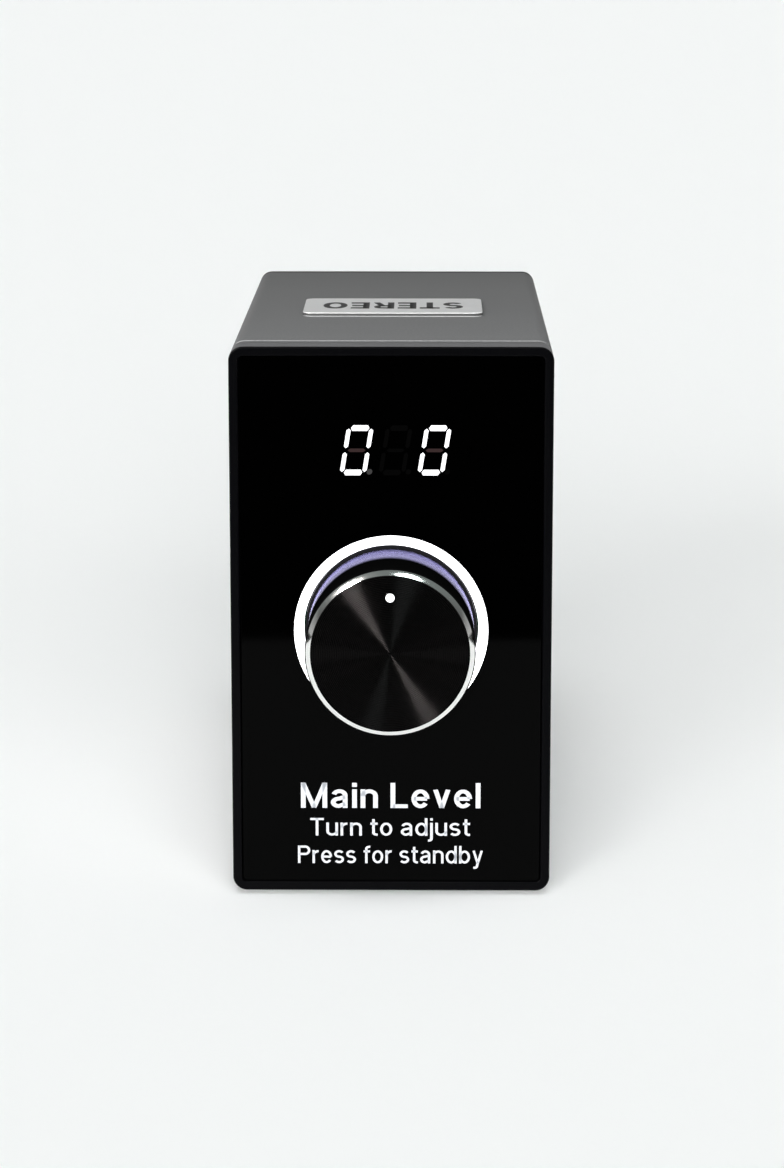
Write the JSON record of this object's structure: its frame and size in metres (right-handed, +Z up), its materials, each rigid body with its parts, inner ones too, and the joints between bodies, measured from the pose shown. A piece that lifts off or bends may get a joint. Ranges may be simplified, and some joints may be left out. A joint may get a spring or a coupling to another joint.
{
  "type": "desktop volume control",
  "caption": "Upright desktop volume control box with a ring-lit rotary push knob, a three-digit display, stereo phono sockets and a rear power rocker.",
  "frame": {"origin": "on the desk, under the middle of the whole object, from the knob's face to the phono sockets' ends", "axes": "+Z up; the front with the knob and display faces -Y; +X is to the right as seen from the front"},
  "size_m": [0.0636, 0.16, 0.1118],
  "materials": {
    "sleeve_aluminium": "dark grey anodised, fine bead blast",
    "frame_plastic": "black moulded plastic, fine satin texture",
    "panel_acrylic": "polished smoked acrylic",
    "ring_acrylic": "opal acrylic light guide, lit",
    "digit_light": "lit white display segments",
    "knob_aluminium": "black anodised, turned face, diamond-cut chamfer",
    "indicator_paint": "white paint fill",
    "badge_metal": "satin silver plate",
    "foam_tape": "black foam tape",
    "foot_rubber": "soft matte rubber",
    "black_plastic": "black glass-filled plastic",
    "white_plastic": "white moulded plastic",
    "red_plastic": "red moulded plastic",
    "circuit_board": "green solder mask",
    "ribbon_vinyl": "grey vinyl",
    "cap_sleeve": "shrunk-on dark blue sleeve",
    "nickel_steel": "nickel plate",
    "black_steel": "black oxide",
    "rear_aluminium": "black anodised plate",
    "gold_brass": "gold plate"
  },
  "bodies": {
    "chassis": {"body_sleeve": "sleeve_aluminium", "front_frame": "frame_plastic", "panel_adhesive": "foam_tape", "front_panel": "panel_acrylic", "light_ring": "ring_acrylic", "ring_reflector": "white_plastic", "led_ring_board": "digit_light", "mounting_hub": "black_plastic", "encoder_body": "nickel_steel", "encoder_bushing": "nickel_steel", "encoder_washer": "nickel_steel", "encoder_nut": "nickel_steel", "display_module": "black_plastic", "front_pcb": "circuit_board", "front_pcb_screw_1": "nickel_steel", "front_pcb_screw_2": "nickel_steel", "main_pcb": "circuit_board", "volume_chip": "black_plastic", "controller_chip": "black_plastic", "relay_1": "white_plastic", "relay_2": "white_plastic", "filter_cap_1": "cap_sleeve", "filter_cap_2": "cap_sleeve", "front_ribbon_connector": "black_plastic", "main_ribbon_connector": "black_plastic", "ribbon_cable": "ribbon_vinyl", "rear_panel": "rear_aluminium", "rca_out_housing": "black_plastic", "rca_in_housing": "black_plastic", "rca_out_right_barrel": "gold_brass", "rca_out_left_barrel": "gold_brass", "rca_in_right_barrel": "gold_brass", "rca_in_left_barrel": "gold_brass", "rca_out_right_insulator": "red_plastic", "rca_out_left_insulator": "white_plastic", "rca_in_right_insulator": "red_plastic", "rca_in_left_insulator": "white_plastic", "usb_c_shell": "nickel_steel", "usb_c_tongue": "black_plastic", "power_switch_housing": "black_plastic", "front_frame_screw_1": "black_steel", "front_frame_screw_2": "black_steel", "front_frame_screw_3": "black_steel", "front_frame_screw_4": "black_steel", "rear_panel_screw_1": "black_steel", "rear_panel_screw_2": "black_steel", "rear_panel_screw_3": "black_steel", "rear_panel_screw_4": "black_steel", "foot_1": "foot_rubber", "foot_2": "foot_rubber", "foot_3": "foot_rubber", "foot_4": "foot_rubber", "top_badge": "badge_metal"},
    "rotor": {"encoder_rotor": "white_plastic"},
    "knob": {"knob_body": "knob_aluminium", "knob_indicator": "indicator_paint", "knob_grub_screw": "black_steel", "encoder_shaft": "nickel_steel"},
    "rocker": {"power_rocker": "black_plastic"}
  },
  "joints": [
    {"name": "knob_turn", "type": "hinge", "parent": "chassis", "child": "rotor", "pos_m": [0, -0.055, 0.0544], "axis": [0, 1, 0], "continuous": true},
    {"name": "knob_press", "type": "slide", "parent": "rotor", "child": "knob", "axis": [0, 1, 0], "range_m": [0, 0.0005], "stiffness_N_per_m": 2000, "springref_m": -0.0015},
    {"name": "power_rocker_tilt", "type": "hinge", "parent": "chassis", "child": "rocker", "pos_m": [0, 0.066, 0.092], "axis": [1, 0, 0], "range_deg": [-20, 0]}
  ]
}
